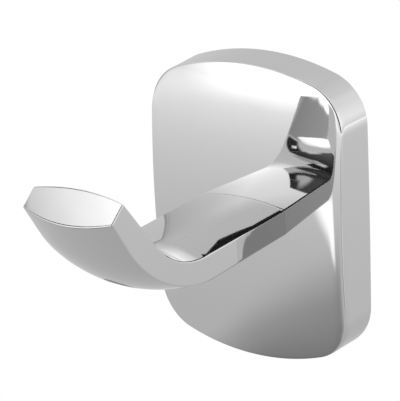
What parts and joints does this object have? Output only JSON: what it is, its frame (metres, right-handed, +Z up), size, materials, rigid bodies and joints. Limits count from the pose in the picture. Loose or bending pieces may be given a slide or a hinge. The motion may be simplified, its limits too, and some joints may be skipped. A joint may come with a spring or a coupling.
{
  "type": "robe hook",
  "caption": "Chromed wall hook: a crowned, arched cover plate on a hidden bracket, with a wide lens-shaped arm that bends up to a flat cut tip.",
  "frame": {"origin": "on the wall plane, behind the middle of the cover plate and midway between the bracket's wall holes", "axes": "+Y into the wall, -Y out into the room along the arm, +Z up, +X to the right seen from the room"},
  "size_m": [0.048, 0.069, 0.0654],
  "materials": {
    "plate_chrome": "bright chrome plating on a polished zinc casting",
    "arm_chrome": "bright chrome plating on polished brass",
    "screw_steel": "bright zinc-plated steel",
    "bracket_zinc": "plain tumbled zinc casting",
    "set_screw_steel": "stainless steel"
  },
  "bodies": {
    "root": {"cover_plate": "plate_chrome", "hook_arm": "arm_chrome", "arm_screw": "screw_steel", "arm_screw_washer": "screw_steel", "wall_bracket": "bracket_zinc", "set_screw": "set_screw_steel"}
  },
  "joints": []
}
